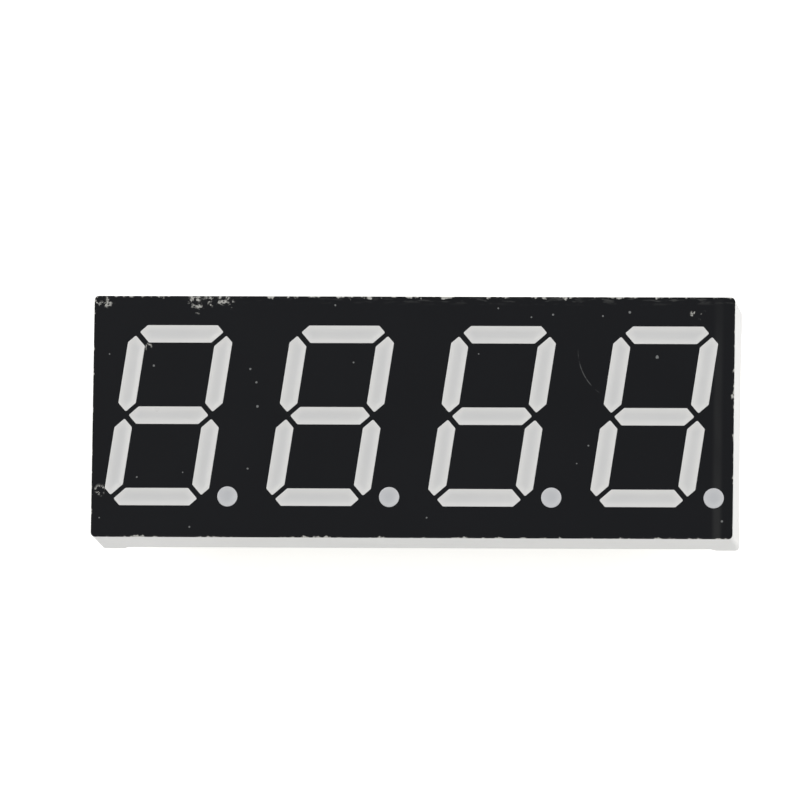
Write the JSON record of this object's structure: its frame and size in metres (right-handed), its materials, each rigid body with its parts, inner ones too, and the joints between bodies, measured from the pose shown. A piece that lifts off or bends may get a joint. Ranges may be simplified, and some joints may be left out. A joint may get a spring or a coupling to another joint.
{
  "type": "four-digit seven-segment display",
  "caption": "Slim rectangular numeric LED display: a row of slanted seven-segment digits with decimal points in a black face, on a white housing with corner feet and rows of pins.",
  "frame": {"origin": "centre of the pin grid, in the plane of the four corner feet that stand on a circuit board", "axes": "+Z out of the display face, +X along the row of digits as they are read, +Y towards their tops"},
  "size_m": [0.0502, 0.019, 0.014],
  "materials": {
    "white_plastic": "satin",
    "black_ink": "satin",
    "milky_epoxy": "satin",
    "board_laminate": "satin",
    "tinned_pin": "satin",
    "solder": "satin",
    "led_chip": "satin",
    "gold_wire": "polished",
    "copper_pad": "satin",
    "clear_epoxy": "gloss"
  },
  "bodies": {
    "root": {"reflector_housing": "white_plastic", "face_ink": "black_ink", "digit_1_segment_a": "milky_epoxy", "digit_1_segment_b": "milky_epoxy", "digit_1_segment_c": "milky_epoxy", "digit_1_segment_d": "milky_epoxy", "digit_1_segment_e": "milky_epoxy", "digit_1_segment_f": "milky_epoxy", "digit_1_segment_g": "milky_epoxy", "digit_2_segment_a": "milky_epoxy", "digit_2_segment_b": "milky_epoxy", "digit_2_segment_c": "milky_epoxy", "digit_2_segment_d": "milky_epoxy", "digit_2_segment_e": "milky_epoxy", "digit_2_segment_f": "milky_epoxy", "digit_2_segment_g": "milky_epoxy", "digit_3_segment_a": "milky_epoxy", "digit_3_segment_b": "milky_epoxy", "digit_3_segment_c": "milky_epoxy", "digit_3_segment_d": "milky_epoxy", "digit_3_segment_e": "milky_epoxy", "digit_3_segment_f": "milky_epoxy", "digit_3_segment_g": "milky_epoxy", "digit_4_segment_a": "milky_epoxy", "digit_4_segment_b": "milky_epoxy", "digit_4_segment_c": "milky_epoxy", "digit_4_segment_d": "milky_epoxy", "digit_4_segment_e": "milky_epoxy", "digit_4_segment_f": "milky_epoxy", "digit_4_segment_g": "milky_epoxy", "digit_1_point": "milky_epoxy", "digit_2_point": "milky_epoxy", "digit_3_point": "milky_epoxy", "digit_4_point": "milky_epoxy", "circuit_board": "board_laminate", "solder_joints": "solder", "back_potting": "clear_epoxy", "pin_1": "tinned_pin", "pin_2": "tinned_pin", "pin_3": "tinned_pin", "pin_4": "tinned_pin", "pin_5": "tinned_pin", "pin_6": "tinned_pin", "pin_7": "tinned_pin", "pin_8": "tinned_pin", "pin_9": "tinned_pin", "pin_10": "tinned_pin", "pin_11": "tinned_pin", "pin_12": "tinned_pin", "digit_1_led_dies": "led_chip", "digit_2_led_dies": "led_chip", "digit_3_led_dies": "led_chip", "digit_4_led_dies": "led_chip", "digit_1_bond_wires": "gold_wire", "digit_2_bond_wires": "gold_wire", "digit_3_bond_wires": "gold_wire", "digit_4_bond_wires": "gold_wire", "die_pads": "copper_pad", "bond_pads": "copper_pad"}
  },
  "joints": []
}
